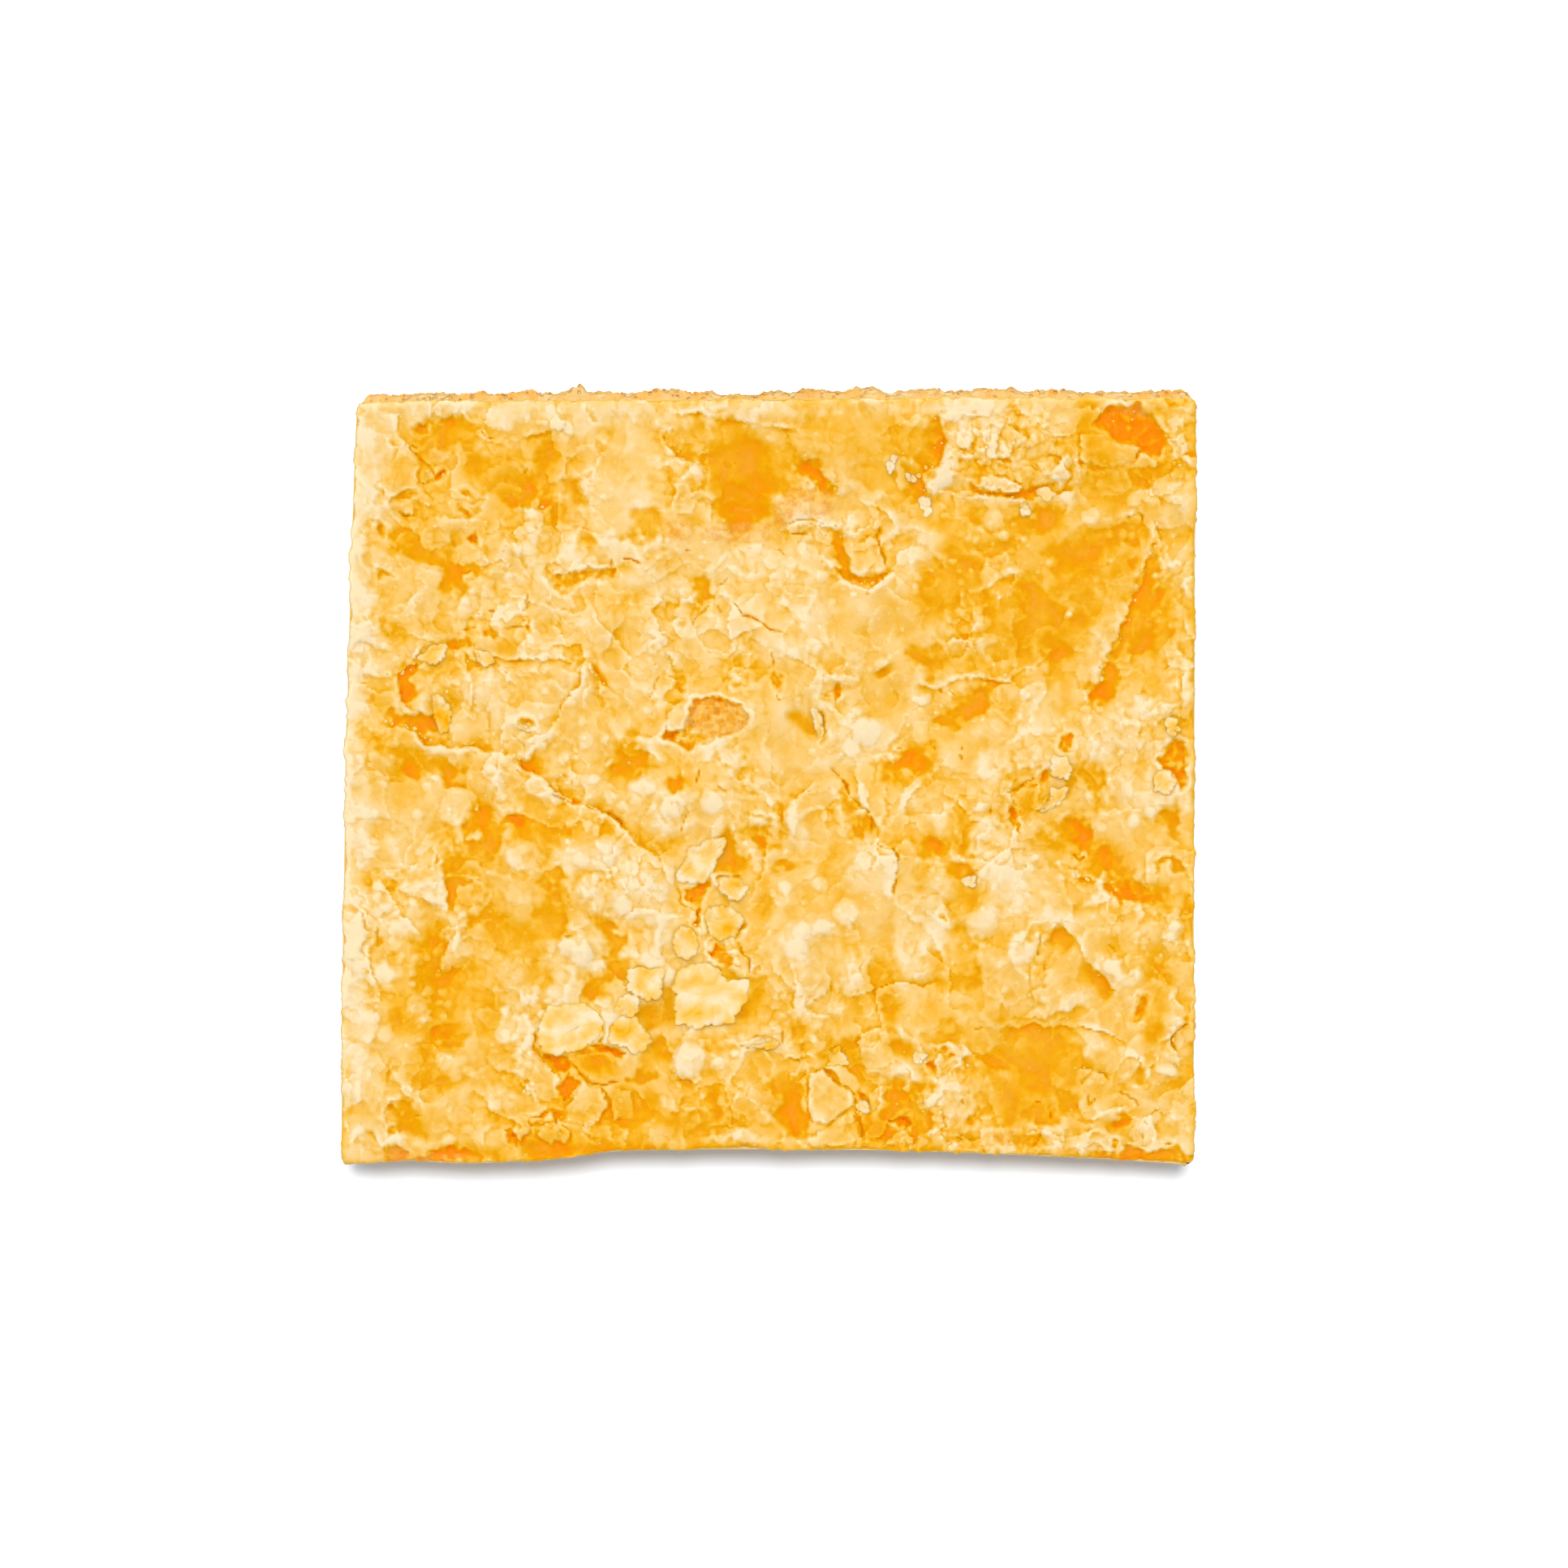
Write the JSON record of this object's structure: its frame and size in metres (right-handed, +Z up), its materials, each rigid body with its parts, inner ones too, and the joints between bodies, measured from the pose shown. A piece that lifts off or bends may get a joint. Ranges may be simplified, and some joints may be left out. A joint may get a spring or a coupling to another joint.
{
  "type": "gooey butter cake",
  "caption": "Cut square of gooey butter cake: a plain crumb base under a set gooey layer with a blistered, cracked, flaking skin.",
  "frame": {"origin": "middle of the underside, on the surface that the square lies on", "axes": "+X to the picture's right along the longer side, +Y to the picture's top, +Z up through the skin"},
  "size_m": [0.083, 0.0753, 0.0248],
  "materials": {
    "base_crumb": "baked butter cake, open tan crumb, matte",
    "gooey_skin": "set butter filling, pale yellow to amber, dry satin skin"
  },
  "bodies": {
    "root": {"cake_base": "base_crumb", "gooey_layer": "gooey_skin"}
  },
  "joints": []
}
